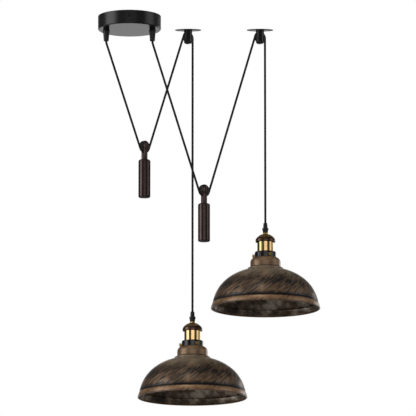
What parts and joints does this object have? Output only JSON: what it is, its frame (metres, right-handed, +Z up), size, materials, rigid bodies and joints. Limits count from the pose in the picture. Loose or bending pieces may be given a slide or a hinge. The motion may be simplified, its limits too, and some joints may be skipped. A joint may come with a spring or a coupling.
{
  "type": "rise and fall pendant",
  "caption": "Ceiling pendant with domed shades on cords that run over ceiling pulleys, each lamp balanced by a counterweight riding in a loop of its cord.",
  "frame": {"origin": "centre of the ceiling rose, on the ceiling", "axes": "+Z up, out of the ceiling face; +X from the rose towards the pulleys, to the right as seen from the front; +Y to the back"},
  "size_m": [0.5654, 0.3838, 0.9543],
  "materials": {
    "black_rose": "satin",
    "zinc_steel": "satin",
    "black_screw": "satin",
    "block_plastic": "matte",
    "brass_screw": "satin",
    "black_plastic": "satin",
    "cord": "matte",
    "black_plate": "satin",
    "black_post": "gloss",
    "axle_steel": "satin",
    "wheel_plastic": "matte",
    "dark_bronze": "satin",
    "aged_brass": "satin",
    "bright_brass": "polished",
    "core_plastic": "matte",
    "shell_brass": "satin",
    "black_fitter": "gloss",
    "rust_shade": "satin"
  },
  "bodies": {
    "ceiling_set": {"rose_cup": "black_rose", "rose_bracket": "zinc_steel", "side_screws": "black_screw", "terminal_block": "block_plastic", "clamp_screws": "brass_screw", "outlet_a": "black_plastic", "outlet_nut_a": "zinc_steel", "cord_inlet_a": "cord", "cord_out_leg_a": "cord", "cord_back_leg_a": "cord", "cord_over_a": "cord", "cord_drop_a": "cord", "plate_a": "black_plate", "post_a": "black_post", "pulley_axle_a": "axle_steel", "outlet_b": "black_plastic", "outlet_nut_b": "zinc_steel", "cord_inlet_b": "cord", "cord_out_leg_b": "cord", "cord_back_leg_b": "cord", "cord_over_b": "cord", "cord_drop_b": "cord", "plate_b": "black_plate", "post_b": "black_post", "pulley_axle_b": "axle_steel"},
    "lamp_a": {"grip_a": "black_plastic", "cord_tail_a": "cord", "cap_a": "aged_brass", "sleeve_a": "bright_brass", "core_a": "core_plastic", "thread_shell_a": "shell_brass", "contact_a": "shell_brass", "fitter_a": "black_fitter", "clamp_ring_a": "black_plastic", "thumb_screws_a": "brass_screw", "shade_a": "rust_shade"},
    "counterweight_a": {"clevis_a": "dark_bronze", "weight_axle_a": "axle_steel", "weight_a": "dark_bronze", "cord_bight_a": "cord"},
    "pulley_wheel_a": {"pulley_wheel_a": "wheel_plastic"},
    "weight_wheel_a": {"weight_wheel_a": "wheel_plastic"},
    "lamp_b": {"grip_b": "black_plastic", "cord_tail_b": "cord", "cap_b": "aged_brass", "sleeve_b": "bright_brass", "core_b": "core_plastic", "thread_shell_b": "shell_brass", "contact_b": "shell_brass", "fitter_b": "black_fitter", "clamp_ring_b": "black_plastic", "thumb_screws_b": "brass_screw", "shade_b": "rust_shade"},
    "counterweight_b": {"clevis_b": "dark_bronze", "weight_axle_b": "axle_steel", "weight_b": "dark_bronze", "cord_bight_b": "cord"},
    "pulley_wheel_b": {"pulley_wheel_b": "wheel_plastic"},
    "weight_wheel_b": {"weight_wheel_b": "wheel_plastic"}
  },
  "joints": [
    {"name": "lamp_a_slide", "type": "slide", "parent": "ceiling_set", "child": "lamp_a", "axis": [0, 0, 1], "range_m": [-0.25, 0.05], "deforming": ["cord_drop_a"]},
    {"name": "counterweight_a_slide", "type": "slide", "parent": "ceiling_set", "child": "counterweight_a", "axis": [0, 0, 1], "range_m": [-0.03, 0.143], "deforming": ["cord_out_leg_a", "cord_back_leg_a"]},
    {"name": "pulley_wheel_a_spin", "type": "hinge", "parent": "ceiling_set", "child": "pulley_wheel_a", "pos_m": [0.1482, 0.152, -0.0217], "axis": [-0.6307, 0.776, 0], "continuous": true},
    {"name": "weight_wheel_a_spin", "type": "hinge", "parent": "counterweight_a", "child": "weight_wheel_a", "pos_m": [0.03804, 0.06247, -0.323], "axis": [-0.6307, 0.776, 0], "continuous": true},
    {"name": "lamp_b_slide", "type": "slide", "parent": "ceiling_set", "child": "lamp_b", "axis": [0, 0, 1], "range_m": [-0.05, 0.22], "deforming": ["cord_drop_b"]},
    {"name": "counterweight_b_slide", "type": "slide", "parent": "ceiling_set", "child": "counterweight_b", "axis": [0, 0, 1], "range_m": [-0.118, 0.028], "deforming": ["cord_out_leg_b", "cord_back_leg_b"]},
    {"name": "pulley_wheel_b_spin", "type": "hinge", "parent": "ceiling_set", "child": "pulley_wheel_b", "pos_m": [0.333, 0.152, -0.0217], "axis": [-0.522, 0.8529, 0], "continuous": true},
    {"name": "weight_wheel_b_spin", "type": "hinge", "parent": "counterweight_b", "child": "weight_wheel_b", "pos_m": [0.18925, 0.06402, -0.436], "axis": [-0.522, 0.8529, 0], "continuous": true}
  ],
  "couplings": [
    {"joint": "counterweight_a_slide", "follows": "lamp_a_slide", "ratio": -0.565},
    {"joint": "pulley_wheel_a_spin", "follows": "lamp_a_slide", "rad_per_m": -66.667},
    {"joint": "weight_wheel_a_spin", "follows": "lamp_a_slide", "rad_per_m": 33.333},
    {"joint": "counterweight_b_slide", "follows": "lamp_b_slide", "ratio": -0.525},
    {"joint": "pulley_wheel_b_spin", "follows": "lamp_b_slide", "rad_per_m": -66.667},
    {"joint": "weight_wheel_b_spin", "follows": "lamp_b_slide", "rad_per_m": 33.333}
  ]
}
